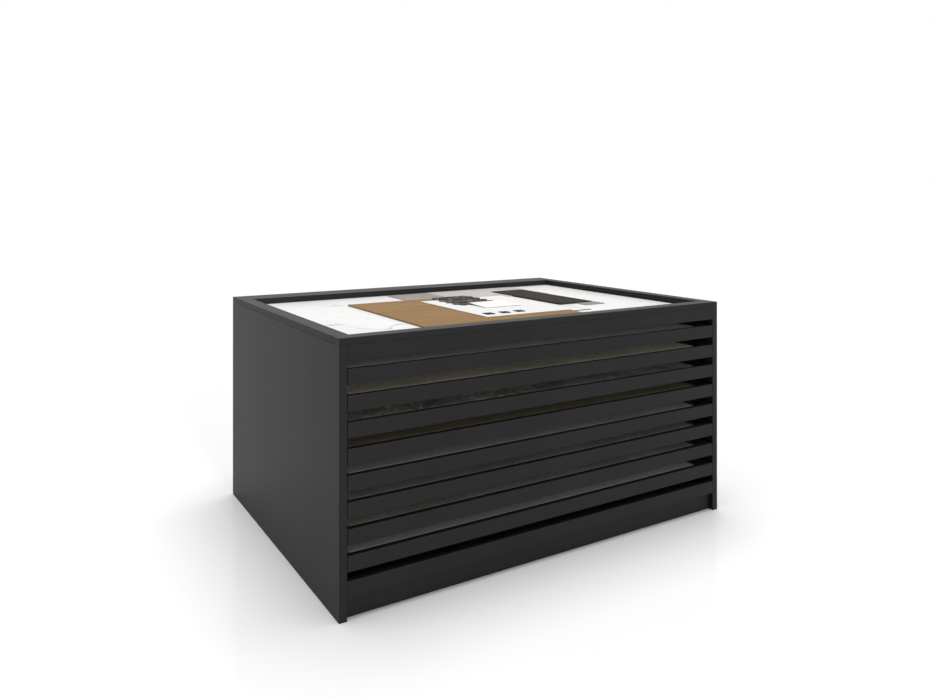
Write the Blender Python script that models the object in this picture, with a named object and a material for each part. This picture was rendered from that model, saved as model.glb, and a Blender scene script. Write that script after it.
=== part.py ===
"""Tile display drawer unit: a low cabinet with flat pull-out trays for large tiles, and a
framed tray of loose samples on top. Metres, +Z up, front towards -Y, origin on the floor at
the middle of the footprint."""

import math

import bmesh
import bpy
from mathutils import Matrix, Vector

# Cabinet boards
WIDTH = 1.360
DEPTH = 0.990
SIDE_THICKNESS = 0.022
FRONT_THICKNESS = 0.018  # apron, slats and base rail
BACK_THICKNESS = 0.018
BOTTOM_THICKNESS = 0.018
PLINTH_THICKNESS = 0.018
DECK_THICKNESS = 0.018
FRAME_THICKNESS = 0.018
FRAME_RAIL = 0.044  # width of the front, left and right rails of the top frame
BACK_RAIL = 0.103  # the back rail is wider
JOINT = 0.0003  # gap left where two boards meet
EDGE = 0.0008  # broken edge of the boards

# Heights, from the floor up
PLINTH_HEIGHT = 0.058
BASE_RAIL_HEIGHT = 0.040
BASE_GAP = 0.022
DRAWER_COUNT = 8
SLAT_HEIGHT = 0.040
FINGER_GAP = 0.026
TOP_GAP = 0.020
APRON_HEIGHT = 0.040

# Drawers
SLAT_END_GAP = 0.0025  # between a slat's end and the side panel
TRAY_BOARD = 0.012
TRAY_REAR_GAP = 0.034  # between a closed tray and the back panel
TRAY_RISE = 0.004  # underside of the battens above the slat's lower edge
BATTEN_WIDTH = 0.030
STOP_THICKNESS = 0.018  # batten across the back of the tray that holds the tile
STOP_HEIGHT = 0.008
TILE_THICKNESS = 0.010
TILE_DROP = 0.001  # tile face below the slat's upper edge
TILE_FRONT_GAP = 0.006  # between the slat and the tile behind it
TILE_LEFT_MARGIN = 0.001
TILE_RIGHT_MARGIN = 0.054  # bare strip of tray beside the tile

# Telescopic slides, three members deep
SLIDE_HEIGHT = 0.035
SLIDE_THICKNESS = 0.0127
SLIDE_SHEET = 0.0012
SLIDE_BEND = 0.0006  # inner radius of the rolled bends
SLIDE_PLAY = 0.0012  # between neighbouring webs, and between flange ends and webs
OUTER_RACE = 0.0033  # room for balls between cabinet member and middle member
INNER_RACE = 0.0021  # room for balls between middle member and drawer member
BEAD_WIDTH = 0.0032  # a row of balls, drawn as one bead on the middle member
LIP_CLEARANCE = 0.0008  # between a curled lip and the flange it holds in
SLIDE_SETBACK = 0.005  # slide's front end behind the slat
SLIDE_REAR_GAP = 0.065  # slide's back end ahead of the tray's back edge
WELD_DEPTH = 0.0005  # how far a slide member is let into the board that carries it
BEND_STEPS = 3
BEAD_STEPS = 4
SHARP_ANGLE = math.radians(50)  # edges that turn less are shaded smooth

# Samples in the top tray
SLAB_THICKNESS = 0.010
SLAB_DROP = 0.003  # slab's face below the underside of the frame
OAK_WIDTH = 0.570
OAK_DEPTH = 0.600
OAK_THICKNESS = 0.005
OAK_LEFT = 0.367  # oak tile's left edge, left of the centre line
OAK_FRONT = 0.048  # oak tile's front edge, behind the front rail
OAK_STEP = 0.076  # the right-hand part of the oak ends short by this, under the white sheet
SHEET_WIDTH = 0.340
SHEET_DEPTH = 0.424
SHEET_THICKNESS = 0.0025
SHEET_ACROSS = 0.245  # white sheet from the oak tile's left edge
SHEET_BACK = 0.103  # white sheet from the oak tile's front edge
CHIP_WIDTH = 0.0255  # hexagonal mosaic chip, between its flat sides
CHIP_GROUT = 0.0018  # between neighbouring chips
CHIP_COLUMNS = 6  # in the even rows; the odd rows have one less
CHIP_ROWS = 9
MOSAIC_THICKNESS = 0.004
MOSAIC_BACKING = 0.0012
BACKING_INSET = 0.014  # backing inside the field of chips
MOSAIC_ACROSS = 0.054  # mosaic from the white sheet's left edge
CREAM_WIDTH = 0.140
CREAM_DEPTH = 0.105
CREAM_THICKNESS = 0.003
CREAM_ACROSS = 0.100  # cream tile from the white sheet's left edge
CREAM_BACK = 0.156  # cream tile's front edge from the white sheet's front edge
CREAM_LAP = 0.010  # depth of cream tile that lies over the mosaic behind it
THIN_TILE_THICKNESS = 0.002  # grey and greige tiles
THIN_TILE_SPACING = 0.005  # between the oak tile and the thin tiles behind it
GREY_WIDTH = 0.1775
GREY_DEPTH = 0.168
GREY_ACROSS = 0.233  # grey tile from the oak tile's left edge
GREIGE_WIDTH = 0.400
GREIGE_SPACING = 0.001  # between the grey and greige tiles
GREIGE_BACK_MARGIN = 0.002
PLANK_WIDTH = 0.145
PLANK_LENGTH = 0.431
PLANK_THICKNESS = 0.003
PLANK_SPACING = 0.054  # between the plank and what lies to its left
PLANK_LAP = 0.145  # length of plank that rests on the greige tile

# Places that follow from the sizes above
LEFT = -WIDTH / 2
RIGHT = WIDTH / 2
FRONT = -DEPTH / 2
BACK = DEPTH / 2
FLOOR = -JOINT / 2  # a board is cut half a joint short on each face, so its foot is then at 0
INNER_HALF = WIDTH / 2 - SIDE_THICKNESS
FRONT_INNER = FRONT + FRONT_THICKNESS
BACK_INNER = BACK - BACK_THICKNESS
BASE_RAIL_TOP = PLINTH_HEIGHT + BASE_RAIL_HEIGHT
LOWEST_SLAT = BASE_RAIL_TOP + BASE_GAP
DRAWER_PITCH = SLAT_HEIGHT + FINGER_GAP
APRON_BOTTOM = LOWEST_SLAT + DRAWER_COUNT * DRAWER_PITCH - FINGER_GAP + TOP_GAP
SIDE_TOP = APRON_BOTTOM + APRON_HEIGHT
FRAME_TOP = SIDE_TOP + FRAME_THICKNESS
SLAB_TOP = SIDE_TOP - SLAB_DROP
SLAB_BOTTOM = SLAB_TOP - SLAB_THICKNESS
DECK_BOTTOM = SLAB_BOTTOM - DECK_THICKNESS
RECESS_FRONT = FRONT + FRAME_RAIL
RECESS_BACK = BACK - BACK_RAIL
TRAY_HALF = INNER_HALF - SLIDE_THICKNESS
TRAY_DEPTH = BACK_INNER - FRONT_INNER - TRAY_REAR_GAP
TRAY_TOP = SLAT_HEIGHT - TILE_DROP - TILE_THICKNESS  # above the slat's lower edge
SLIDE_LENGTH = TRAY_DEPTH - SLIDE_SETBACK - SLIDE_REAR_GAP
SLIDE_FRONT = FRONT_INNER + SLIDE_SETBACK
SLIDE_MIDDLE = SLAT_HEIGHT / 2  # slide's centre line above the slat's lower edge
CHIP_RADIUS = CHIP_WIDTH / math.sqrt(3)
CHIP_PITCH = CHIP_WIDTH + CHIP_GROUT
ROW_PITCH = CHIP_PITCH * math.sqrt(3) / 2
MOSAIC_WIDTH = CHIP_COLUMNS * CHIP_PITCH - CHIP_GROUT
MOSAIC_DEPTH = (CHIP_ROWS - 1) * ROW_PITCH + 2 * CHIP_RADIUS
CREAM_LEAN = math.atan2(MOSAIC_THICKNESS, CREAM_DEPTH - CREAM_LAP)

# Finishes: name, then colour in sRGB, roughness and metallic value
FINISHES = {
    "anthracite": ((44, 44, 45), 0.5, 0.0),
    "black_board": ((48, 48, 49), 0.6, 0.0),
    "zinc_steel": ((170, 172, 175), 0.3, 1.0),
    "white_marble": ((240, 240, 238), 0.2, 0.0),
    "oak": ((158, 130, 96), 0.5, 0.0),
    "white_sheet": ((245, 245, 244), 0.5, 0.0),
    "mosaic": ((84, 82, 78), 0.4, 0.0),
    "cream": ((246, 245, 238), 0.3, 0.0),
    "dark_plank": ((70, 66, 64), 0.5, 0.0),
    "grey_ceramic": ((166, 159, 150), 0.5, 0.0),
    "greige_ceramic": ((203, 199, 196), 0.5, 0.0),
    "tile_stone_grey": ((168, 168, 167), 0.4, 0.0),
    "tile_taupe": ((172, 165, 152), 0.4, 0.0),
    "tile_green_marble": ((142, 148, 135), 0.3, 0.0),
    "tile_walnut": ((134, 124, 106), 0.5, 0.0),
    "tile_warm_grey": ((165, 162, 157), 0.4, 0.0),
    "tile_brown_grey": ((146, 141, 136), 0.4, 0.0),
    "tile_clay_grey": ((154, 147, 141), 0.4, 0.0),
    "tile_concrete": ((174, 173, 170), 0.5, 0.0),
}
TILE_FINISHES = [name for name in FINISHES if name.startswith("tile_")]  # top drawer first


def linear(value):
    """One sRGB channel, 0 to 255, as linear light."""
    share = value / 255
    return share / 12.92 if share <= 0.04045 else ((share + 0.055) / 1.055) ** 2.4


def material(name):
    """The finish as a Principled material, made once."""
    if name in bpy.data.materials:
        return bpy.data.materials[name]
    colour, roughness, metallic = FINISHES[name]
    made = bpy.data.materials.new(name)
    made.use_nodes = True
    shader = made.node_tree.nodes["Principled BSDF"]
    shader.inputs["Base Color"].default_value = (*map(linear, colour), 1)
    shader.inputs["Roughness"].default_value = roughness
    shader.inputs["Metallic"].default_value = metallic
    return made


def place(name, mesh, finish, location=(0, 0, 0), parent=None):
    """A named object that shows the mesh; under a parent its location is measured from that parent."""
    obj = bpy.data.objects.new(name, mesh)
    if not mesh.materials:
        mesh.materials.append(material(finish))
    obj.location = location
    obj.parent = parent
    bpy.context.scene.collection.objects.link(obj)
    return obj


def helper(name, mesh):
    """An object that only lends its shape to a Boolean."""
    obj = place(name, mesh, "zinc_steel")
    obj.hide_render = True
    obj.display_type = "WIRE"
    return obj


def box_mesh(name, size):
    """A cuboid centred on its own origin."""
    bm = bmesh.new()
    bmesh.ops.create_cube(bm, size=1, matrix=Matrix.Diagonal((*size, 1)))
    mesh = bpy.data.meshes.new(name)
    bm.to_mesh(mesh)
    bm.free()
    return mesh


def board(name, low, high, finish, parent=None):
    """A board between two corners in world space, cut half a joint short on every face."""
    low = Vector(low)
    high = Vector(high)
    centre = (low + high) / 2
    size = high - low - Vector((JOINT, JOINT, JOINT))
    start = parent.location if parent else Vector((0, 0, 0))
    obj = place(name, box_mesh(name, size), finish, centre - start, parent)
    edges = obj.modifiers.new("broken_edges", "BEVEL")
    edges.width = EDGE
    edges.segments = 1
    edges.limit_method = "NONE"
    return obj


def extrude_outlines(name, outlines, length):
    """Closed outlines in X and Z, each carried straight along +Y for the length."""
    bm = bmesh.new()
    for outline in outlines:
        corners = [bm.verts.new((x, 0, z)) for x, z in outline]
        face = bm.faces.new(corners)
        made = bmesh.ops.extrude_face_region(bm, geom=[face])["geom"]
        moved = [item for item in made if isinstance(item, bmesh.types.BMVert)]
        bmesh.ops.translate(bm, verts=moved, vec=(0, length, 0))
    bmesh.ops.recalc_face_normals(bm, faces=bm.faces)
    mesh = bpy.data.meshes.new(name)
    bm.to_mesh(mesh)
    bm.free()
    mesh.shade_smooth()
    mesh.set_sharp_from_angle(angle=SHARP_ANGLE)
    return mesh


def bead(start, end, level, height):
    """Points of a half-round bead on a flange, from start to end, as high as given."""
    middle = (start + end) / 2
    half = (start - end) / 2
    turns = [math.pi * step / BEAD_STEPS for step in range(BEAD_STEPS + 1)]
    return [(middle + half * math.cos(turn), level + height * math.sin(turn)) for turn in turns]


def bend(corner, back, ahead, radius):
    """Points of a quarter-round bend at a corner; back and ahead point along its two sides."""
    points = []
    for step in range(BEND_STEPS + 1):
        turn = math.pi / 2 * step / BEND_STEPS
        along_back = radius * (1 - math.sin(turn))
        along_ahead = radius * (1 - math.cos(turn))
        x = corner[0] + along_back * back[0] + along_ahead * ahead[0]
        z = corner[1] + along_back * back[1] + along_ahead * ahead[1]
        points.append((x, z))
    return points


def channel(web, tip, half, lip, outer_bead=0.0, inner_bead=0.0):
    """Section of a rolled channel with curled lips. It runs from the back of its web to the tips of
    its flanges. Beads stand for the rows of balls that ride on the flanges."""
    way = 1 if tip > web else -1
    sheet = way * SLIDE_SHEET
    middle = (web + tip) / 2
    near = middle - way * BEAD_WIDTH / 2
    far = middle + way * BEAD_WIDTH / 2
    inside = half - SLIDE_SHEET
    outer_radius = SLIDE_BEND + SLIDE_SHEET
    down = (0, -1)
    to_tip = (way, 0)
    to_web = (-way, 0)
    upper = bend((web + sheet, inside), down, to_tip, SLIDE_BEND)
    if inner_bead:
        upper += bead(near, far, inside, -inner_bead)
    if lip:
        upper += bend((tip - sheet, inside), to_web, down, SLIDE_BEND)
        upper += [(tip - sheet, half - lip), (tip, half - lip)]
        upper += bend((tip, half), down, to_web, outer_radius)
    else:
        upper += [(tip, inside), (tip, half)]
    if outer_bead:
        upper += bead(far, near, half, outer_bead)
    upper += bend((web, half), to_tip, down, outer_radius)
    lower = [(x, -z) for x, z in reversed(upper)]
    return lower + upper


def moved_outline(outline, across, up, side):
    """The outline measured from a side panel's inner face, set on the left (-1) or right (1) side."""
    return [(side * (INNER_HALF - across - x), up + z) for x, z in outline]


CABINET_HALF = SLIDE_HEIGHT / 2
MIDDLE_HALF = CABINET_HALF - SLIDE_SHEET - OUTER_RACE
DRAWER_HALF = MIDDLE_HALF - SLIDE_SHEET - INNER_RACE
CABINET_MEMBER = channel(
    0, SLIDE_THICKNESS - SLIDE_PLAY, CABINET_HALF, CABINET_HALF - MIDDLE_HALF - LIP_CLEARANCE
)
MIDDLE_MEMBER = channel(
    SLIDE_SHEET + SLIDE_PLAY,
    SLIDE_THICKNESS - SLIDE_SHEET - SLIDE_PLAY,
    MIDDLE_HALF,
    MIDDLE_HALF - DRAWER_HALF - LIP_CLEARANCE,
    OUTER_RACE - JOINT,
    INNER_RACE - JOINT,
)
DRAWER_MEMBER = channel(SLIDE_THICKNESS, 2 * (SLIDE_SHEET + SLIDE_PLAY), DRAWER_HALF, 0)


def sunk(outline, web, by):
    """The outline with the back of its web moved into the board behind it."""
    return [(x + by if x == web else x, z) for x, z in outline]


def slat_bottom(number):
    """Lower edge of a drawer's slat; drawer 1 is the top one."""
    return LOWEST_SLAT + (DRAWER_COUNT - number) * DRAWER_PITCH


def side_panel(name, side):
    """A side board with the cabinet members of its slides screwed on, one for each drawer."""
    outer = side * WIDTH / 2
    inner = side * INNER_HALF
    obj = board(name, (min(outer, inner), FRONT, FLOOR), (max(outer, inner), BACK, SIDE_TOP), "anthracite")
    outline = sunk(CABINET_MEMBER, 0, -WELD_DEPTH)
    outlines = []
    for number in range(1, DRAWER_COUNT + 1):
        outlines.append(moved_outline(outline, 0, slat_bottom(number) + SLIDE_MIDDLE, side))
    slides = helper(name + "_slides", extrude_outlines(name + "_slides", outlines, SLIDE_LENGTH))
    slides.location.y = SLIDE_FRONT
    union = obj.modifiers.new("slides", "BOOLEAN")
    union.operation = "UNION"
    union.object = slides


def cabinet():
    """The fixed boards: sides, back, bottom, toe board, front rails and deck."""
    side_panel("left_side_panel", -1)
    side_panel("right_side_panel", 1)
    left = -INNER_HALF
    right = INNER_HALF
    board("back_panel", (left, BACK_INNER, FLOOR), (right, BACK, SIDE_TOP), "anthracite")
    board(
        "bottom_panel",
        (left, FRONT_INNER, PLINTH_HEIGHT),
        (right, BACK_INNER, PLINTH_HEIGHT + BOTTOM_THICKNESS),
        "black_board",
    )
    board(
        "plinth_board",
        (left, FRONT_INNER, FLOOR),
        (right, FRONT_INNER + PLINTH_THICKNESS, PLINTH_HEIGHT),
        "anthracite",
    )
    board("base_rail", (left, FRONT, PLINTH_HEIGHT), (right, FRONT_INNER, BASE_RAIL_TOP), "anthracite")
    board("top_apron", (left, FRONT, APRON_BOTTOM), (right, FRONT_INNER, SIDE_TOP), "anthracite")
    board("top_deck", (left, FRONT_INNER, DECK_BOTTOM), (right, BACK_INNER, SLAB_BOTTOM), "black_board")


def top_frame():
    """Four flat rails butted round the sample tray; front and back rails run right across."""
    board("frame_front_rail", (LEFT, FRONT, SIDE_TOP), (RIGHT, RECESS_FRONT, FRAME_TOP), "anthracite")
    board("frame_back_rail", (LEFT, RECESS_BACK, SIDE_TOP), (RIGHT, BACK, FRAME_TOP), "anthracite")
    board(
        "frame_left_rail",
        (LEFT, RECESS_FRONT, SIDE_TOP),
        (LEFT + FRAME_RAIL, RECESS_BACK, FRAME_TOP),
        "anthracite",
    )
    board(
        "frame_right_rail",
        (RIGHT - FRAME_RAIL, RECESS_FRONT, SIDE_TOP),
        (RIGHT, RECESS_BACK, FRAME_TOP),
        "anthracite",
    )


def sample(name, corner, size, finish):
    """A loose flat piece from its lower front left corner and its width, depth and thickness."""
    return board(name, corner, Vector(corner) + Vector(size), finish)


def lean_back(obj, corner, angle):
    """Tips a piece about its lower front edge, so that its back edge rises."""
    turn = Matrix.Rotation(angle, 3, "X")
    pivot = Vector(corner)
    obj.location = pivot + turn @ (obj.location - pivot)
    obj.rotation_euler.x = angle


def cut_oak(oak, corner, size):
    """Takes the back right part off the oak tile, from the corner of the step up and back."""
    cutter = helper("oak_step", box_mesh("oak_step", Vector(size)))
    cutter.location = Vector(corner) + Vector(size) / 2
    cutter.scale.z = 2
    cut = oak.modifiers.new("step", "BOOLEAN")
    cut.operation = "DIFFERENCE"
    cut.object = cutter


def mosaic_sheet(name, corner, finish):
    """Staggered rows of hexagonal chips on one thin backing, from the lower front left corner."""
    left, front, under = corner
    hexagon = [math.radians(30 + 60 * step) for step in range(6)]
    outlines = []
    for row in range(CHIP_ROWS):
        shift = 1 - row % 2
        y = front + CHIP_RADIUS + row * ROW_PITCH
        for column in range(CHIP_COLUMNS - shift):
            x = left + CHIP_WIDTH / 2 + (column + shift / 2) * CHIP_PITCH
            outlines.append(
                [(x + CHIP_RADIUS * math.cos(turn), -y + CHIP_RADIUS * math.sin(turn)) for turn in hexagon]
            )
    rise = MOSAIC_THICKNESS - MOSAIC_BACKING / 2 - JOINT / 2
    chips = helper(name + "_chips", extrude_outlines(name + "_chips", outlines, rise))
    chips.rotation_euler.x = math.pi / 2
    chips.location.z = under + MOSAIC_BACKING / 2
    size = (MOSAIC_WIDTH - 2 * BACKING_INSET, MOSAIC_DEPTH - 2 * BACKING_INSET, MOSAIC_BACKING - JOINT)
    middle = (left + MOSAIC_WIDTH / 2, front + MOSAIC_DEPTH / 2, under + MOSAIC_BACKING / 2)
    sheet = place(name, box_mesh(name, size), finish, middle)
    union = sheet.modifiers.new("chips", "BOOLEAN")
    union.operation = "UNION"
    union.object = chips


def samples():
    """The slab that fills the tray and what lies on it, laid out from the oak tile."""
    board(
        "marble_slab",
        (-INNER_HALF, FRONT_INNER, SLAB_BOTTOM),
        (INNER_HALF, BACK_INNER, SLAB_TOP),
        "white_marble",
    )
    oak_x = -OAK_LEFT
    oak_y = RECESS_FRONT + OAK_FRONT
    oak_back = oak_y + OAK_DEPTH
    oak = sample("oak_sample", (oak_x, oak_y, SLAB_TOP), (OAK_WIDTH, OAK_DEPTH, OAK_THICKNESS), "oak")
    sheet_x = oak_x + SHEET_ACROSS
    sheet_y = oak_y + SHEET_BACK
    sheet_z = SLAB_TOP + OAK_THICKNESS
    sample(
        "white_sheet_sample",
        (sheet_x, sheet_y, sheet_z),
        (SHEET_WIDTH, SHEET_DEPTH, SHEET_THICKNESS),
        "white_sheet",
    )
    upper_z = sheet_z + SHEET_THICKNESS
    cream_y = sheet_y + CREAM_BACK
    cream_corner = (sheet_x + CREAM_ACROSS, cream_y, upper_z)
    cream = sample("cream_sample", cream_corner, (CREAM_WIDTH, CREAM_DEPTH, CREAM_THICKNESS), "cream")
    lean_back(cream, cream_corner, CREAM_LEAN)
    mosaic_y = cream_y + CREAM_DEPTH - CREAM_LAP
    mosaic_sheet("mosaic_sample", (sheet_x + MOSAIC_ACROSS, mosaic_y, upper_z), "mosaic")
    grey_x = oak_x + GREY_ACROSS
    grey_right = grey_x + GREY_WIDTH
    sample(
        "grey_sample",
        (grey_x, oak_back + THIN_TILE_SPACING, SLAB_TOP),
        (GREY_WIDTH, GREY_DEPTH, THIN_TILE_THICKNESS),
        "grey_ceramic",
    )
    step_y = oak_back - OAK_STEP
    cut_oak(oak, (grey_right, step_y, SLAB_TOP), (OAK_WIDTH, OAK_DEPTH, OAK_THICKNESS))
    greige_y = step_y + THIN_TILE_SPACING
    sample(
        "greige_sample",
        (grey_right + GREIGE_SPACING, greige_y, SLAB_TOP),
        (GREIGE_WIDTH, RECESS_BACK - GREIGE_BACK_MARGIN - greige_y, THIN_TILE_THICKNESS),
        "greige_ceramic",
    )
    plank_x = max(oak_x + OAK_WIDTH, sheet_x + SHEET_WIDTH) + PLANK_SPACING
    sample(
        "dark_plank_sample",
        (plank_x, greige_y + PLANK_LAP - PLANK_LENGTH, SLAB_TOP + THIN_TILE_THICKNESS),
        (PLANK_WIDTH, PLANK_LENGTH, PLANK_THICKNESS),
        "dark_plank",
    )


def tray_mesh():
    """A tray board on two side battens, with the batten behind the tile and the drawer members of
    its slides. Its origin is at the middle of its front edge, level with the slat's lower edge."""
    half = TRAY_HALF - JOINT / 2
    inner = half - BATTEN_WIDTH
    top = TRAY_TOP - JOINT / 2
    under = top - TRAY_BOARD
    section = [
        (-half, TRAY_RISE),
        (-inner, TRAY_RISE),
        (-inner, under),
        (inner, under),
        (inner, TRAY_RISE),
        (half, TRAY_RISE),
        (half, top),
        (-half, top),
    ]
    length = TRAY_DEPTH - JOINT
    tray = place("tray", extrude_outlines("tray", [section], length), "black_board")
    rise = STOP_HEIGHT + TRAY_BOARD / 2
    stop = helper("tray_stop", box_mesh("tray_stop", (2 * inner, STOP_THICKNESS, rise)))
    stop.location = (0, length - STOP_THICKNESS / 2 - JOINT, top + STOP_HEIGHT - rise / 2)
    outline = sunk(DRAWER_MEMBER, SLIDE_THICKNESS, WELD_DEPTH)
    outlines = [moved_outline(outline, 0, SLIDE_MIDDLE, side) for side in (-1, 1)]
    slides = helper("tray_slides", extrude_outlines("tray_slides", outlines, SLIDE_LENGTH))
    slides.location.y = SLIDE_SETBACK
    for extra in (stop, slides):
        union = tray.modifiers.new(extra.name, "BOOLEAN")
        union.operation = "UNION"
        union.object = extra
    bpy.context.view_layer.update()
    seen = tray.evaluated_get(bpy.context.evaluated_depsgraph_get())
    mesh = bpy.data.meshes.new_from_object(seen)
    for used in (tray, stop, slides):
        bpy.data.objects.remove(used)
    return mesh


def drawers():
    """Each drawer is a slat, a tray and a tile that slide out together on a pair of telescopic
    slides. The middle members move half as far as the drawer, on an axis of their own."""
    tray = tray_mesh()
    middle_meshes = {}
    for side, word in ((-1, "left"), (1, "right")):
        outline = moved_outline(MIDDLE_MEMBER, 0, 0, side)
        middle_meshes[word] = extrude_outlines("middle_member_" + word, [outline], SLIDE_LENGTH)
    for number in range(1, DRAWER_COUNT + 1):
        bottom = slat_bottom(number)
        name = f"drawer_{number}"
        axis = bpy.data.objects.new(name + "_axis", None)
        axis.location = (0, FRONT, bottom + SLIDE_MIDDLE)
        bpy.context.scene.collection.objects.link(axis)
        slat_half = INNER_HALF - SLAT_END_GAP
        board(
            name + "_front",
            (-slat_half, FRONT, bottom),
            (slat_half, FRONT_INNER, bottom + SLAT_HEIGHT),
            "anthracite",
            axis,
        )
        tray_place = Vector((0, FRONT_INNER + JOINT / 2, bottom)) - axis.location
        place(name + "_tray", tray, "black_board", tray_place, axis)
        board(
            name + "_tile",
            (-TRAY_HALF + TILE_LEFT_MARGIN, FRONT_INNER + TILE_FRONT_GAP, bottom + TRAY_TOP),
            (
                TRAY_HALF - TILE_RIGHT_MARGIN,
                FRONT_INNER + TRAY_DEPTH - STOP_THICKNESS - 2 * JOINT,
                bottom + TRAY_TOP + TILE_THICKNESS,
            ),
            TILE_FINISHES[(number - 1) % len(TILE_FINISHES)],
            axis,
        )
        middle_axis = bpy.data.objects.new(f"runner_{number}_axis", None)
        middle_axis.location = (0, SLIDE_FRONT, bottom + SLIDE_MIDDLE)
        bpy.context.scene.collection.objects.link(middle_axis)
        for word, mesh in middle_meshes.items():
            place(f"runner_{number}_{word}", mesh, "zinc_steel", (0, 0, 0), middle_axis)


for old in list(bpy.data.objects):
    bpy.data.objects.remove(old)
cabinet()
top_frame()
samples()
drawers()
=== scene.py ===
"""Tile display drawer unit: the finish of every board, slide, tile and sample, the small loose
samples on top, the studio floor, the light and the camera."""

import math

import bpy
import numpy as np
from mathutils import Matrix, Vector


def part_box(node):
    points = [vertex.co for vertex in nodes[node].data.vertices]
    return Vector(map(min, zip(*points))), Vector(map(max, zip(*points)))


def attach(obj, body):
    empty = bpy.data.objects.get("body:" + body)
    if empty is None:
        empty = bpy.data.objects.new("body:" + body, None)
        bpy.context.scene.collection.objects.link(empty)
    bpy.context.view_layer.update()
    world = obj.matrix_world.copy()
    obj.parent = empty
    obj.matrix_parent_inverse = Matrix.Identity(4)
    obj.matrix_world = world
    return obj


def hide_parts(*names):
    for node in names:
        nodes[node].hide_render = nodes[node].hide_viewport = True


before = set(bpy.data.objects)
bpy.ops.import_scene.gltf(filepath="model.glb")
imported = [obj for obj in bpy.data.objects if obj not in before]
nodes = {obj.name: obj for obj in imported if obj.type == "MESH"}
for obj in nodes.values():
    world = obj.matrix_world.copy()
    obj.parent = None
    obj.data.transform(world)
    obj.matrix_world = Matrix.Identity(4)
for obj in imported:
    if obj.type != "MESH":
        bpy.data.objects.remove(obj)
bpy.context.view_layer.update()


# Camera
# A level view over the front left corner, from a little above the top. The picture is taken
# in from below the lens axis, so the upright edges stay upright.
camera_data = bpy.data.cameras.new("camera")
camera_data.sensor_width = 36.0
camera_data.lens = 29.595
camera_data.shift_y = -0.1558
camera = bpy.data.objects.new("camera", camera_data)
camera.location = (-1.3932, -2.2527, 1.0290)
camera.rotation_euler = (math.radians(90.0), 0.0, math.radians(-31.447))
bpy.context.scene.collection.objects.link(camera)
bpy.context.scene.camera = camera


# Floor and light
# A white studio floor with a faint polish, under a white sky and two broad lamps overhead, the weaker one
# further to the left. A low lamp in front shines into the finger gaps, with a softer one above it. The eye
# sees the floor a little whiter.
FLOOR_HALF = 30.0
FLOOR_GREY = 0.90
FLOOR_SEEN = 1.06
FLOOR_POLISH = 0.05
FLOOR_ROUGHNESS = 0.08
SKY_LIGHT = 0.18


def surface(name, points, faces):
    """A mesh object at the origin from an array of points and a list of faces."""
    mesh = bpy.data.meshes.new(name)
    mesh.from_pydata(points, [], faces)
    mesh.update()
    made = bpy.data.objects.new(name, mesh)
    bpy.context.scene.collection.objects.link(made)
    return made


floor_corners = FLOOR_HALF * np.array([(-1, -1, 0), (1, -1, 0), (1, 1, 0), (-1, 1, 0)])
floor = surface("floor", floor_corners.tolist(), [(0, 1, 2, 3)])

floor_finish = bpy.data.materials.new("studio_floor")
floor_finish.use_nodes = True
floor_nodes = floor_finish.node_tree.nodes
floor_links = floor_finish.node_tree.links
floor_nodes.clear()
floor_out = floor_nodes.new("ShaderNodeOutputMaterial")
floor_matt = floor_nodes.new("ShaderNodeBsdfDiffuse")
floor_gloss = floor_nodes.new("ShaderNodeBsdfGlossy")
floor_gloss.inputs["Roughness"].default_value = FLOOR_ROUGHNESS
floor_body = floor_nodes.new("ShaderNodeMixShader")
floor_body.inputs["Fac"].default_value = FLOOR_POLISH
floor_eye = floor_nodes.new("ShaderNodeLightPath")
floor_tone = floor_nodes.new("ShaderNodeMapRange")
floor_tone.inputs["To Min"].default_value = FLOOR_GREY
floor_tone.inputs["To Max"].default_value = FLOOR_SEEN
floor_links.new(floor_eye.outputs["Is Camera Ray"], floor_tone.inputs["Value"])
floor_links.new(floor_tone.outputs["Result"], floor_matt.inputs["Color"])
floor_links.new(floor_matt.outputs[0], floor_body.inputs[1])
floor_links.new(floor_gloss.outputs[0], floor_body.inputs[2])
floor_links.new(floor_body.outputs[0], floor_out.inputs["Surface"])
floor.data.materials.append(floor_finish)

world = bpy.data.worlds.new("studio")
world.use_nodes = True
bpy.context.scene.world = world
sky = world.node_tree.nodes["Background"]
sky.inputs["Color"].default_value = (1.0, 1.0, 1.0, 1.0)
sky_path = world.node_tree.nodes.new("ShaderNodeLightPath")
sky_seen = world.node_tree.nodes.new("ShaderNodeMath")
sky_seen.operation = "MAXIMUM"
sky_mirrored = world.node_tree.nodes.new("ShaderNodeMath")
sky_mirrored.operation = "MAXIMUM"
sky_strength = world.node_tree.nodes.new("ShaderNodeMapRange")
sky_strength.inputs["To Min"].default_value = SKY_LIGHT
sky_strength.inputs["To Max"].default_value = 1.0
sky_links = world.node_tree.links
sky_links.new(sky_path.outputs["Is Glossy Ray"], sky_mirrored.inputs[0])
sky_links.new(sky_path.outputs["Is Transmission Ray"], sky_mirrored.inputs[1])
sky_links.new(sky_path.outputs["Is Camera Ray"], sky_seen.inputs[0])
sky_links.new(sky_mirrored.outputs[0], sky_seen.inputs[1])
sky_links.new(sky_seen.outputs[0], sky_strength.inputs["Value"])
sky_links.new(sky_strength.outputs["Result"], sky.inputs["Strength"])


def lamp(name, strength, spread, tilt):
    """A far lamp as wide as the spread, in degrees, turned from straight down by the tilt."""
    data = bpy.data.lights.new(name, "SUN")
    data.energy = strength
    data.angle = math.radians(spread)
    made = bpy.data.objects.new(name, data)
    made.rotation_euler = [math.radians(angle) for angle in tilt]
    bpy.context.scene.collection.objects.link(made)


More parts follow.
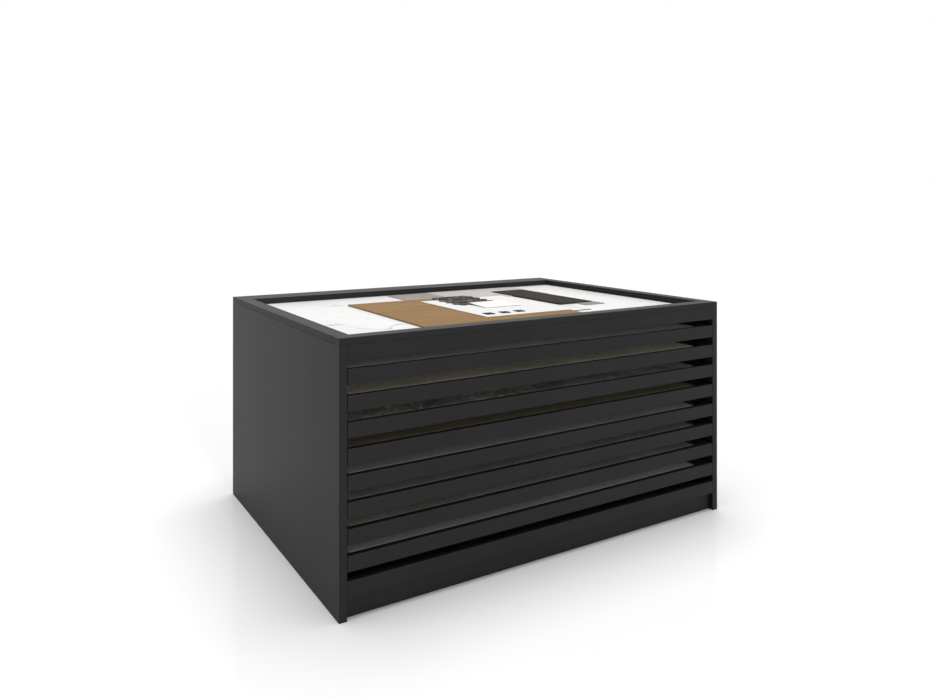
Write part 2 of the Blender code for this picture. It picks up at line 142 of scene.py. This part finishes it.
lamp("overhead_right", 2.02, 46.0, (-3.6, 6.0, 0.0))
lamp("overhead_left", 0.36, 36.0, (-3.6, -30.0, 0.0))
lamp("front_lamp", 1.17, 10.0, (80.5, 0.0, 0.0))
lamp("front_fill", 0.26, 50.0, (60.0, 0.0, 0.0))

scene_view = bpy.context.scene.view_settings
scene_view.view_transform = "Standard"


# Cabinet boards
# Chipboard 18 and 22 mm thick with an anthracite melamine face and edge band, joined with dowels.
# The face has a fine emboss that scatters the light, and the trimmed edges are a shade paler.
def srgb(red, green, blue):
    """A colour given in sRGB steps of 0 to 255, as linear light with full alpha."""
    share = np.array([red, green, blue]) / 255.0
    linear = np.where(share <= 0.04045, share / 12.92, ((share + 0.055) / 1.055) ** 2.4)
    return (*linear.tolist(), 1.0)


class Finish:
    """A material in the making: a Principled shader and nodes that read the object's own coordinates."""

    def __init__(self, name, roughness=0.5, specular=0.5, metallic=0.0):
        self.material = bpy.data.materials.new(name)
        self.material.use_nodes = True
        self.nodes = self.material.node_tree.nodes
        self.links = self.material.node_tree.links
        self.shader = self.nodes["Principled BSDF"]
        self.shader.inputs["Roughness"].default_value = roughness
        self.shader.inputs["Specular IOR Level"].default_value = specular
        self.shader.inputs["Metallic"].default_value = metallic
        self.place = self.nodes.new("ShaderNodeTexCoord").outputs["Object"]

    def feed(self, socket, value):
        """Links a value that another node makes, and sets one that is constant."""
        if isinstance(value, bpy.types.NodeSocket):
            self.links.new(value, socket)
        else:
            socket.default_value = value

    def mapped(self, stretch, turn=0.0, shift=(0.0, 0.0, 0.0)):
        """The object's coordinates, stretched, then turned about Z and shifted."""
        made = self.nodes.new("ShaderNodeMapping")
        self.feed(made.inputs["Vector"], self.place)
        made.inputs["Rotation"].default_value = (0.0, 0.0, turn)
        made.inputs["Scale"].default_value = stretch
        made.inputs["Location"].default_value = shift
        return made.outputs["Vector"]

    def noise(self, scale, detail=2.0, stretch=(1.0, 1.0, 1.0), turn=0.0, warp=0.0, shift=(0.0, 0.0, 0.0)):
        """Cloudy noise, 0 to 1 about 0.5, with so many patches to the metre."""
        made = self.nodes.new("ShaderNodeTexNoise")
        self.feed(made.inputs["Vector"], self.mapped(stretch, turn, shift))
        made.inputs["Scale"].default_value = scale
        made.inputs["Detail"].default_value = detail
        made.inputs["Distortion"].default_value = warp
        return made.outputs["Fac"]

    def math(self, operation, first, second=0.0):
        """One sum on two values."""
        made = self.nodes.new("ShaderNodeMath")
        made.operation = operation
        self.feed(made.inputs[0], first)
        self.feed(made.inputs[1], second)
        return made.outputs[0]

    def blend(self, first, second, share):
        """Two values added, the second with the given share and the first with the rest."""
        part = self.math("MULTIPLY", second, share)
        return self.math("ADD", self.math("MULTIPLY", first, 1.0 - share), part)

    def ramp(self, value, start, end, low=0.0, high=1.0):
        """The value carried smoothly from low at start to high at end, and held beyond them."""
        made = self.nodes.new("ShaderNodeMapRange")
        made.interpolation_type = "SMOOTHSTEP"
        self.feed(made.inputs["Value"], value)
        made.inputs["From Min"].default_value = start
        made.inputs["From Max"].default_value = end
        made.inputs["To Min"].default_value = low
        made.inputs["To Max"].default_value = high
        return made.outputs["Result"]

    def mix(self, share, first, second):
        """A colour between two others."""
        made = self.nodes.new("ShaderNodeMix")
        made.data_type = "RGBA"
        self.feed(made.inputs[0], share)
        self.feed(made.inputs[6], first)
        self.feed(made.inputs[7], second)
        return made.outputs[2]

    def axis(self, name):
        """One of the object's own coordinates, in metres."""
        made = self.nodes.new("ShaderNodeSeparateXYZ")
        self.feed(made.inputs[0], self.place)
        return made.outputs[name]

    def facing(self):
        """How far the face points along each axis, 0 to 1, as three values."""
        normal = self.nodes.new("ShaderNodeNewGeometry").outputs["True Normal"]
        size = self.nodes.new("ShaderNodeVectorMath")
        size.operation = "ABSOLUTE"
        self.feed(size.inputs[0], normal)
        split = self.nodes.new("ShaderNodeSeparateXYZ")
        self.feed(split.inputs[0], size.outputs[0])
        return split.outputs["X"], split.outputs["Y"], split.outputs["Z"]

    def side_face(self):
        """1 on upright faces, 0 on level ones."""
        return self.ramp(self.facing()[2], 0.3, 0.6, 1.0, 0.0)

    def broken_edge(self):
        """1 on the narrow slanted faces along a board's edges, 0 on its flat faces."""
        x, y, z = self.facing()
        largest = self.math("MAXIMUM", self.math("MAXIMUM", x, y), z)
        return self.ramp(largest, 0.85, 0.97, 1.0, 0.0)

    def bump(self, height, distance):
        """Lets the height, times the distance in metres, tilt the surface."""
        made = self.nodes.new("ShaderNodeBump")
        made.inputs["Distance"].default_value = distance
        self.feed(made.inputs["Height"], height)
        self.feed(self.shader.inputs["Normal"], made.outputs["Normal"])

    def paint(self, colour=None, roughness=None, metallic=None):
        """Connects what the shader shows."""
        for name, value in (("Base Color", colour), ("Roughness", roughness), ("Metallic", metallic)):
            if value is not None:
                self.feed(self.shader.inputs[name], value)

    def wear(self, *names):
        """Puts the finish on the named pieces of the frame."""
        for name in names:
            nodes[name].data.materials.clear()
            nodes[name].data.materials.append(self.material)


ANTHRACITE_DARK = srgb(31, 31, 31)
ANTHRACITE_PALE = srgb(38, 38, 38)
ANTHRACITE_EDGE = srgb(52, 52, 52)
BOARD_SHEEN = 0.105
EMBOSS_GRAINS = 900.0
EMBOSS_DEPTH = 0.00012
DRAWERS = range(1, 9)


def melamine(finish, smooth=0.40, rough=0.48):
    """Colour and roughness of the anthracite face: fine speckle, slow cloud, paler edges."""
    speckle = finish.noise(EMBOSS_GRAINS, 2.0)
    cloud = finish.noise(5.0, 3.0)
    shade = finish.ramp(finish.blend(speckle, cloud, 0.3), 0.35, 0.65)
    face = finish.mix(shade, ANTHRACITE_DARK, ANTHRACITE_PALE)
    rubbed = finish.math("MULTIPLY", finish.broken_edge(), finish.ramp(finish.noise(60.0, 3.0), 0.3, 0.7))
    colour = finish.mix(rubbed, face, ANTHRACITE_EDGE)
    roughness = finish.ramp(speckle, 0.3, 0.7, smooth, rough)
    finish.bump(speckle, EMBOSS_DEPTH)
    return colour, roughness


board_finish = Finish("anthracite_board", specular=BOARD_SHEEN)
board_finish.paint(*melamine(board_finish))
board_finish.wear("back_panel", "plinth_board", "base_rail", "top_apron")
board_finish.wear(*[f"drawer_{number}_front" for number in DRAWERS])

rail_finish = Finish("anthracite_rail", specular=BOARD_SHEEN)
rail_finish.paint(*melamine(rail_finish, smooth=0.435, rough=0.515))
rail_finish.wear("frame_front_rail", "frame_back_rail", "frame_left_rail", "frame_right_rail")


# Edge bands
# Strips of anthracite plastic 1.3 mm thick, glued to the sawn ends of each slat and rounded over. They
# leave about a millimetre free to the side panels.
UPRIGHT = [(1.0, 0.0, 0.0), (0.0, 1.0, 0.0), (0.0, 0.0, 1.0)]
TO_RIGHT = [(0.0, 1.0, 0.0), (0.0, 0.0, 1.0), (1.0, 0.0, 0.0)]
TO_LEFT = [(0.0, -1.0, 0.0), (0.0, 0.0, 1.0), (-1.0, 0.0, 0.0)]
EDGE_RINGS = 4
SHARP_EDGE = math.radians(40.0)


def tablets(centres, outline, half, foot, top, edge, stand=UPRIGHT, recess=None, depth=0.0):
    """Flat pieces of one outline, one round each centre. Rings of the outline stand at the foot and climb a
    quarter circle of the edge radius up to the top, drawing in as they rise. A recess is a smaller ring
    sunk by the depth. The rows of stand are the ways of the outline's two sizes and of the rise."""
    turn = np.linspace(0.0, math.pi / 2.0, EDGE_RINGS)
    inset = np.concatenate([[0.0], edge * (1.0 - np.cos(turn))])
    level = np.concatenate([[foot], top - edge * (1.0 - np.sin(turn))])
    ring = outline[None, :, :] * (np.array(half)[None, None, :] - inset[:, None, None])
    if recess is not None:
        ring = np.concatenate([ring, np.stack([recess, recess]) * np.array(half)])
        level = np.concatenate([level, [top, top - depth]])
    flat = np.array(centres)[:, None, None, :] + ring[None]
    height = np.broadcast_to(level[None, :, None, None], flat.shape[:3] + (1,))
    points = np.concatenate([flat, height], axis=3).reshape(-1, 3) @ np.array(stand)
    index = np.arange(len(points)).reshape(flat.shape[:3])
    after = np.roll(index, -1, axis=2)
    walls = np.stack([index[:, :-1], after[:, :-1], after[:, 1:], index[:, 1:]], axis=-1).reshape(-1, 4)
    return points, [walls, index[:, -1], index[:, 0, ::-1]]


def piece(name, body, finish, slot, *shapes):
    """One object of all the shapes, smooth but for sharp edges, that moves with the body."""
    starts = np.cumsum([0] + [len(points) for points, _ in shapes])
    shells = [(faces, start) for (_, shell), start in zip(shapes, starts) for faces in shell]
    rows = [row for faces, start in shells for row in (faces + start).tolist()]
    made = surface(name, np.concatenate([points for points, _ in shapes]).tolist(), rows)
    made.data.shade_smooth()
    made.data.set_sharp_from_angle(angle=SHARP_EDGE)
    made.data.materials.append(finish.material)
    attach(made, body)
    return made


CORNER = 0.05
CORNER_STEPS = 5
corner_sweep = np.linspace(0.0, 90.0, CORNER_STEPS)
corner_turn = np.radians(np.add.outer([0.0, 90.0, 180.0, 270.0], corner_sweep).ravel())
corner_middle = np.repeat([(1.0, 1.0), (-1.0, 1.0), (-1.0, -1.0), (1.0, -1.0)], CORNER_STEPS, axis=0)
corner_way = np.stack([np.cos(corner_turn), np.sin(corner_turn)], axis=1)
ROUNDED_SQUARE = (1.0 - CORNER) * corner_middle + CORNER * corner_way

BAND_THICKNESS = 0.0013
BAND_LAP = 0.0009
BAND_INSET = 0.00005
BAND_ROUNDING = 0.0008
for number in DRAWERS:
    slat_low, slat_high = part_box(f"drawer_{number}_front")
    slat_middle = (slat_low + slat_high) / 2.0
    slat_half = (slat_high - slat_low) / 2.0
    band_half = (slat_half.y - BAND_INSET, slat_half.z - BAND_INSET)
    band_foot = slat_high.x - BAND_LAP
    band_top = slat_high.x + BAND_THICKNESS
    band_shape = (ROUNDED_SQUARE, band_half, band_foot, band_top, BAND_ROUNDING)
    right_band = tablets([(slat_middle.y, slat_middle.z)], *band_shape, TO_RIGHT)
    left_band = tablets([(-slat_middle.y, slat_middle.z)], *band_shape, TO_LEFT)
    drawer = f"drawer_{number}"
    piece(drawer + "_bands", drawer, board_finish, "anthracite_board", left_band, right_band)


# Telescopic slides
# Rolled zinc-plated steel, 1.2 mm thick, in three members. The outer member is screwed to the side
# panel, the inner one to the tray, and the middle one runs on balls between them.
ZINC_PALE = srgb(188, 191, 194)
ZINC_DARK = srgb(164, 167, 172)
PANEL_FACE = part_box("back_panel")[1].x
PANEL_MARGIN = 0.0002


def zinc(finish):
    """Colour and roughness of the plated steel: long rolling marks and a faint mottle."""
    rolled = finish.noise(900.0, 2.0, (1.0, 0.01, 1.0))
    mottle = finish.noise(45.0, 3.0)
    colour = finish.mix(finish.ramp(finish.blend(rolled, mottle, 0.3), 0.30, 0.70), ZINC_DARK, ZINC_PALE)
    return colour, finish.ramp(rolled, 0.3, 0.7, 0.24, 0.36)


slide_finish = Finish("zinc_steel", metallic=1.0)
slide_finish.paint(*zinc(slide_finish))
slide_finish.wear(*[f"runner_{number}_{side}" for number in DRAWERS for side in ("left", "right")])

SLIDE_PLAY = 0.0012
SCREWS = 4
SCREW_MARGIN = 0.040
SCREW_HALF = (0.0038, 0.0038)
SCREW_RISE = 0.0018
SCREW_ROUNDING = 0.0011
SCREW_SIDES = 16
CROSS_DEPTH = 0.0009
CROSS_MIDDLE = 0.34
CROSS_SWING = 0.16
screw_turn = np.linspace(0.0, 2.0 * math.pi, SCREW_SIDES, endpoint=False)
ROUND = np.stack([np.cos(screw_turn), np.sin(screw_turn)], axis=1)
# The cross recess is a ring whose radius swings out and in four times a turn.
CROSS = ROUND * (CROSS_MIDDLE + CROSS_SWING * np.cos(4.0 * screw_turn))[:, None]
for number in DRAWERS:
    member_low, member_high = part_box(f"runner_{number}_right")
    screw_y = np.linspace(member_low.y + SCREW_MARGIN, member_high.y - SCREW_MARGIN, SCREWS)
    screw_z = np.full(SCREWS, (member_low.z + member_high.z) / 2.0)
    web = member_low.x - SLIDE_PLAY
    screw_shape = (ROUND, SCREW_HALF, web, web + SCREW_RISE, SCREW_ROUNDING)
    right_screws = tablets(np.stack([screw_y, screw_z], axis=1), *screw_shape, TO_RIGHT, CROSS, CROSS_DEPTH)
    left_screws = tablets(np.stack([-screw_y, screw_z], axis=1), *screw_shape, TO_LEFT, CROSS, CROSS_DEPTH)
    drawer = f"drawer_{number}"
    piece(drawer + "_screws", drawer, slide_finish, "zinc_steel", left_screws, right_screws)


def share_with_steel(finish, board, is_steel):
    """A board whose slide members, where is_steel is 1, show plated steel."""
    board_colour, board_roughness = board
    steel_colour, steel_roughness = zinc(finish)
    board_share = finish.math("MULTIPLY", board_roughness, finish.math("SUBTRACT", 1.0, is_steel))
    steel_share = finish.math("MULTIPLY", steel_roughness, is_steel)
    finish.paint(
        finish.mix(is_steel, board_colour, steel_colour),
        finish.math("ADD", board_share, steel_share),
        is_steel,
    )


side_finish = Finish("anthracite_side", specular=BOARD_SHEEN)
side_across = side_finish.math("ABSOLUTE", side_finish.axis("X"))
inside_panel = side_finish.math("LESS_THAN", side_across, PANEL_FACE - PANEL_MARGIN)
share_with_steel(side_finish, melamine(side_finish), inside_panel)
side_finish.wear("left_side_panel", "right_side_panel")


# Inner boards and trays
# Black melamine boards: the bottom, the deck under the slab, and a 12 mm tray on two battens for
# each drawer. A batten across the back of the tray keeps the tile from sliding off.
BLACK_DARK = srgb(44, 44, 45)
BLACK_PALE = srgb(56, 56, 57)
TRAY_EDGE = -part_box("drawer_1_tile")[0].x
TRAY_MARGIN = 0.0012


def black_face(finish):
    """Colour and roughness of the black boards: fine speckle on a dull face."""
    speckle = finish.noise(700.0, 2.0)
    colour = finish.mix(finish.ramp(speckle, 0.35, 0.65), BLACK_DARK, BLACK_PALE)
    finish.bump(speckle, 0.0001)
    return colour, finish.ramp(speckle, 0.3, 0.7, 0.52, 0.62)


inner_finish = Finish("black_board", specular=0.5)
inner_finish.paint(*black_face(inner_finish))
inner_finish.wear("bottom_panel", "top_deck")

tray_finish = Finish("black_tray", specular=0.5)
tray_across = tray_finish.math("ABSOLUTE", tray_finish.axis("X"))
on_slide = tray_finish.math("GREATER_THAN", tray_across, TRAY_EDGE + TRAY_MARGIN)
share_with_steel(tray_finish, black_face(tray_finish), on_slide)
tray_finish.wear(*[f"drawer_{number}_tray" for number in DRAWERS])


# Tiles on the trays
# Large-format porcelain 10 mm thick, one on each tray, with stone and wood looks. They lie loose between
# the slat and the batten behind, and their cut sides show the plain body.
def stone_tile(name, dark, pale, body, patch, grit=420.0, veins=None, sheen=0.2):
    """A stone look: soft clouds of so many to the metre, smaller ones among them, a fine grit, and pale
    veins if a colour is given."""
    finish = Finish(name, specular=sheen)
    cloud = finish.blend(finish.noise(patch * 0.4, 8.0, warp=0.3), finish.noise(patch * 5.0, 6.0), 0.4)
    grain = finish.noise(grit, 2.0)
    colour = finish.mix(finish.ramp(finish.blend(cloud, grain, 0.25), 0.34, 0.66), dark, pale)
    if veins:
        wander = finish.noise(patch * 0.6, 4.0, warp=1.5)
        line = finish.math("ABSOLUTE", finish.math("SUBTRACT", wander, 0.5))
        colour = finish.mix(finish.ramp(line, 0.0, 0.02, 0.7, 0.0), colour, veins)
    colour = finish.mix(finish.side_face(), colour, body)
    finish.paint(colour, finish.ramp(grain, 0.3, 0.7, 0.50, 0.64))
    finish.bump(grain, 0.00015)
    return finish


def wood_look(name, dark, pale, body, stretch, rings=26.0, sheen=0.1):
    """Broad and narrow streaks along the way that the stretch makes long, with fine pores among them."""
    finish = Finish(name, specular=sheen)
    broad = finish.noise(rings * 0.5, 5.0, stretch, warp=0.25)
    figure = finish.blend(broad, finish.noise(rings * 4.0, 4.0, stretch, warp=0.1), 0.45)
    pores = finish.noise(rings * 22.0, 2.0, stretch)
    colour = finish.mix(finish.ramp(finish.blend(figure, pores, 0.35), 0.37, 0.63), dark, pale)
    colour = finish.mix(finish.side_face(), colour, body)
    finish.paint(colour, finish.ramp(pores, 0.3, 0.7, 0.56, 0.68))
    finish.bump(pores, 0.00018)
    return finish


stone_grey = stone_tile(
    "tile_stone_grey", srgb(164, 164, 164), srgb(184, 184, 183), srgb(152, 151, 148), 16.0
)
stone_grey.wear("drawer_1_tile")
taupe = stone_tile("tile_taupe", srgb(176, 167, 151), srgb(207, 200, 187), srgb(164, 152, 136), 10.0, 260.0)
taupe.wear("drawer_2_tile")
green = stone_tile(
    "tile_green_marble",
    srgb(91, 94, 84),
    srgb(155, 158, 147),
    srgb(110, 113, 104),
    22.0,
    veins=srgb(206, 208, 199),
)
green.wear("drawer_3_tile")
walnut = wood_look(
    "tile_walnut", srgb(107, 98, 83), srgb(134, 125, 110), srgb(94, 84, 70), (0.04, 1.0, 1.0)
)
walnut.wear("drawer_4_tile")
warm_grey = stone_tile("tile_warm_grey", srgb(153, 150, 145), srgb(177, 174, 169), srgb(160, 152, 144), 9.0)
warm_grey.wear("drawer_5_tile")
brown_grey = stone_tile(
    "tile_brown_grey", srgb(124, 119, 114), srgb(153, 148, 143), srgb(130, 117, 109), 12.0
)
brown_grey.wear("drawer_6_tile")
clay_grey = stone_tile(
    "tile_clay_grey", srgb(133, 126, 120), srgb(164, 157, 151), srgb(130, 113, 103), 14.0
)
clay_grey.wear("drawer_7_tile")
concrete = stone_tile("tile_concrete", srgb(164, 163, 160), srgb(184, 183, 180), srgb(156, 154, 148), 7.0)
concrete.wear("drawer_8_tile")


# Marble slab
# A polished white slab 10 mm thick that fills the framed top, laid on the deck. Thin grey veins
# wander across it, with stronger ones in the bare corners at the left and at the back right.
VEIN_GREY = srgb(186, 187, 190)
VEIN_TAPER = 0.03

marble = Finish("white_marble", specular=0.2)
marble_cloud = marble.noise(3.0, 4.0, warp=0.8)
marble_base = marble.mix(marble.ramp(marble_cloud, 0.4, 0.7), srgb(246, 246, 245), srgb(238, 238, 238))
marble_rough = marble.math("MULTIPLY", marble.math("SUBTRACT", marble.noise(28.0, 4.0), 0.5), 0.05)


def vein(level, bends, first, last, width):
    """1 along a vein and 0 off it. The vein crosses the slab at the level, swings to one side in a
    smooth step from each bend's start to its end, wanders a little and fades out at both ends."""
    across = marble.axis("X")
    path = level
    for start, end, swing in bends:
        path = marble.math("ADD", marble.ramp(across, start, end, 0.0, swing), path)
    off = marble.math("ADD", marble.math("SUBTRACT", marble.axis("Y"), path), marble_rough)
    body = marble.ramp(marble.math("ABSOLUTE", off), 0.0, width, 1.0, 0.0)
    opening = marble.ramp(across, first, first + VEIN_TAPER, 0.0, 1.0)
    closing = marble.ramp(across, last - VEIN_TAPER, last, 1.0, 0.0)
    return marble.math("MULTIPLY", body, marble.math("MULTIPLY", opening, closing))


WAVE_BENDS = [(-0.548, -0.517, -0.105), (-0.520, -0.470, -0.044), (-0.475, -0.400, 0.061)]
marble_wave = vein(-0.168, WAVE_BENDS, -0.60, -0.37, 0.018)
marble_back = vein(0.298, [(-0.455, -0.418, -0.074), (-0.400, -0.366, -0.012)], -0.47, -0.35, 0.020)
marble_right = vein(0.255, [(0.520, 0.565, -0.100)], 0.50, 0.58, 0.030)
marble_spots = marble.ramp(marble.noise(22.0, 2.0, shift=(0.3, 0.0, 0.0)), 0.40, 0.62, 0.35, 1.0)
marble_wander = marble.noise(2.4, 4.0, (1.0, 0.7, 1.0), 0.5, 1.6)
marble_line = marble.math("ABSOLUTE", marble.math("SUBTRACT", marble_wander, 0.5))
marble_fade = marble.ramp(marble.noise(2.0, 2.0, shift=(3.1, 1.7, 0.0)), 0.45, 0.65)
marble_thread = marble.math("MULTIPLY", marble.ramp(marble_line, 0.0, 0.010, 0.25, 0.0), marble_fade)
marble_veins = marble.math("MAXIMUM", marble_wave, marble.math("MAXIMUM", marble_back, marble_right))
marble_grey = marble.math("MAXIMUM", marble_thread, marble.math("MULTIPLY", marble_veins, marble_spots))
marble.paint(
    marble.mix(marble_grey, marble_base, VEIN_GREY),
    marble.ramp(marble_cloud, 0.3, 0.7, 0.30, 0.38),
)
marble.wear("marble_slab")


# Loose samples on the slab
# Flat pieces of flooring and tile laid out by hand: an oak board, a white card on it with a cream
# tile and three chips, a dark plank, and a grey and a greige tile at the back. A small grey tile lies
# under the end of the plank, and a pale one beside the oak at the front.
oak = wood_look("oak", srgb(133, 102, 62), srgb(155, 123, 81), srgb(150, 118, 78), (0.06, 1.0, 1.0), 22.0)
oak.wear("oak_sample")

card = Finish("white_sheet", roughness=0.6, specular=0.2)
card_fibre = card.noise(500.0, 3.0)
card.paint(card.mix(card_fibre, srgb(236, 236, 237), srgb(244, 244, 244)))
card.bump(card_fibre, 0.00005)
card.wear("white_sheet_sample")

cream = Finish("cream_glaze", roughness=0.18, specular=0.4)
cream_face = cream.mix(cream.noise(14.0, 3.0), srgb(252, 251, 246), srgb(248, 247, 240))
# Painted light: the cut sides show the brown unglazed body, but those facing left and right are painted
# paler, a painted highlight that lifts the shade on the left side.
cream_body_and_painted_light_sides = cream.mix(cream.ramp(cream.facing()[0], 0.4, 0.6), srgb(150, 132, 112), srgb(222, 218, 208))
cream.paint(cream.mix(cream.side_face(), cream_face, cream_body_and_painted_light_sides))
cream.wear("cream_sample")

# Painted light: the plank's cut sides are painted paler than its face, a painted highlight that hides the
# shade on its thin sides.
dark_plank = wood_look(
    "dark_plank", srgb(26, 20, 16), srgb(42, 35, 30), srgb(66, 59, 54), (1.0, 0.06, 1.0), 30.0, sheen=0.05
)
dark_plank.wear("dark_plank_sample")
grey_ceramic = stone_tile(
    "grey_ceramic", srgb(135, 130, 123), srgb(155, 150, 143), srgb(138, 132, 124), 12.0
)
grey_ceramic.wear("grey_sample")
greige = stone_tile("greige_ceramic", srgb(188, 184, 181), srgb(203, 199, 196), srgb(192, 188, 184), 9.0)
greige.wear("greige_sample")

sheet_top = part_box("white_sheet_sample")[1].z
slab_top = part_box("marble_slab")[1].z

CHIP_HALF = 0.015
CHIP_THICKNESS = 0.002
SAMPLE_ROUNDING = 0.0006
chip_centres = [(-0.0836, -0.2547), (-0.0242, -0.2547), (0.0325, -0.2546)]
chip_size = (CHIP_HALF, CHIP_HALF)
chip_top = sheet_top + CHIP_THICKNESS
chips = tablets(chip_centres, ROUNDED_SQUARE, chip_size, sheet_top, chip_top, SAMPLE_ROUNDING)
slate = stone_tile("slate_chip", srgb(34, 36, 42), srgb(50, 52, 60), srgb(38, 40, 46), 90.0, sheen=0.05)
piece("colour_chips", "cabinet", slate, "tile_stone_grey", chips)

LIFTER_HALF = (0.0435, 0.0435)
LIFTER_MIDDLE = (0.388, -0.170)
LIFTER_PLAY = 0.0001
LIFTER_ROUNDING = 0.0005
lifter_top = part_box("dark_plank_sample")[0].z - LIFTER_PLAY
lifter = tablets([LIFTER_MIDDLE], ROUNDED_SQUARE, LIFTER_HALF, slab_top, lifter_top, LIFTER_ROUNDING)
piece("grey_lift_sample", "cabinet", grey_ceramic, "grey_ceramic", lifter)

PALE_THICKNESS = 0.003
PALE_HALF = (0.040, 0.050)
PALE_MIDDLE = (0.252, -0.254)
pale_top = slab_top + PALE_THICKNESS
pale = tablets([PALE_MIDDLE], ROUNDED_SQUARE, PALE_HALF, slab_top, pale_top, SAMPLE_ROUNDING)
pale_finish = Finish("pale_glaze", roughness=0.25, specular=0.3)
pale_face = pale_finish.mix(pale_finish.noise(30.0, 3.0), srgb(244, 243, 239), srgb(236, 235, 230))
pale_finish.paint(pale_finish.mix(pale_finish.side_face(), pale_face, srgb(106, 105, 103)))
piece("pale_sample", "cabinet", pale_finish, "cream_glaze", pale)


# Mosaic sheet
# Hexagonal stone chips 25.5 mm across, 1.8 mm apart, glued in staggered rows to a mesh backing.
# The chips differ in tone, and each is streaked a little.
GROUT = 0.0018
CHIP_COLUMNS = 6
CHIP_ROWS = 9
HEX_ROUNDING = 0.0008
BACKING_THICKNESS = 0.0010
BACKING_INSET = 0.014
BACKING_ROUNDING = 0.0002
MESH_THREADS = 1600.0  # radians of the weave to the metre
TONE_SEED = 7

mosaic_low, mosaic_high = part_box("mosaic_sample")
chip_pitch = (mosaic_high.x - mosaic_low.x + GROUT) / CHIP_COLUMNS
hex_half = (chip_pitch - GROUT) / 2.0
hex_corner = 2.0 / math.sqrt(3.0)
hex_turn = np.radians(np.arange(30.0, 390.0, 60.0))
HEXAGON = hex_corner * np.stack([np.cos(hex_turn), np.sin(hex_turn)], axis=1)
hex_row, hex_column = np.divmod(np.arange(CHIP_ROWS * CHIP_COLUMNS), CHIP_COLUMNS)
hex_short = 1 - hex_row % 2
hex_x = mosaic_low.x + hex_half + (hex_column + 0.5 * hex_short) * chip_pitch
hex_y = mosaic_low.y + hex_half * hex_corner + hex_row * chip_pitch * math.sqrt(3.0) / 2.0
hex_kept = hex_column < CHIP_COLUMNS - hex_short
hex_centres = np.stack([hex_x, hex_y], axis=1)[hex_kept]
backing_top = mosaic_low.z + BACKING_THICKNESS
hex_chips = tablets(hex_centres, HEXAGON, (hex_half, hex_half), backing_top, mosaic_high.z, HEX_ROUNDING)
stone = Finish("mosaic", specular=0.02)
mosaic_chips = piece("mosaic_chips", "cabinet", stone, "mosaic", hex_chips)
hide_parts("mosaic_sample")

chip_tones = np.random.default_rng(TONE_SEED).random(len(hex_centres))
tone_layer = mosaic_chips.data.attributes.new("tone", "FLOAT", "POINT")
chip_points = len(mosaic_chips.data.vertices) // len(hex_centres)
tone_layer.data.foreach_set("value", np.repeat(chip_tones, chip_points))

stone_tone = stone.nodes.new("ShaderNodeAttribute")
stone_tone.attribute_name = "tone"
stone_streak = stone.noise(80.0, 4.0, (1.0, 0.35, 1.0), 0.6, 1.2)
stone_mixed = stone.blend(stone_tone.outputs["Fac"], stone_streak, 0.70)
stone.paint(
    stone.mix(stone.ramp(stone_mixed, 0.36, 0.70), srgb(18, 16, 14), srgb(108, 106, 100)),
    stone.ramp(stone_streak, 0.3, 0.7, 0.45, 0.60),
)

mosaic_half_x = (mosaic_high.x - mosaic_low.x) / 2.0
mosaic_half_y = (mosaic_high.y - mosaic_low.y) / 2.0
backing_middle = ((mosaic_low.x + mosaic_high.x) / 2.0, (mosaic_low.y + mosaic_high.y) / 2.0)
backing_half = (mosaic_half_x - BACKING_INSET, mosaic_half_y - BACKING_INSET)
backing_shape = (ROUNDED_SQUARE, backing_half, mosaic_low.z, backing_top, BACKING_ROUNDING)
backing = tablets([backing_middle], *backing_shape)
mesh_finish = Finish("mosaic_mesh", roughness=0.8, specular=0.1)
mesh_across = mesh_finish.math("MULTIPLY", mesh_finish.axis("X"), MESH_THREADS)
mesh_threads = mesh_finish.math("MULTIPLY", mesh_finish.math("SINE", mesh_across), 0.5)
mesh_share = mesh_finish.ramp(mesh_threads, -0.2, 0.3)
mesh_finish.paint(mesh_finish.mix(mesh_share, srgb(40, 39, 37), srgb(66, 64, 60)))
piece("mosaic_backing", "cabinet", mesh_finish, "mosaic", backing)
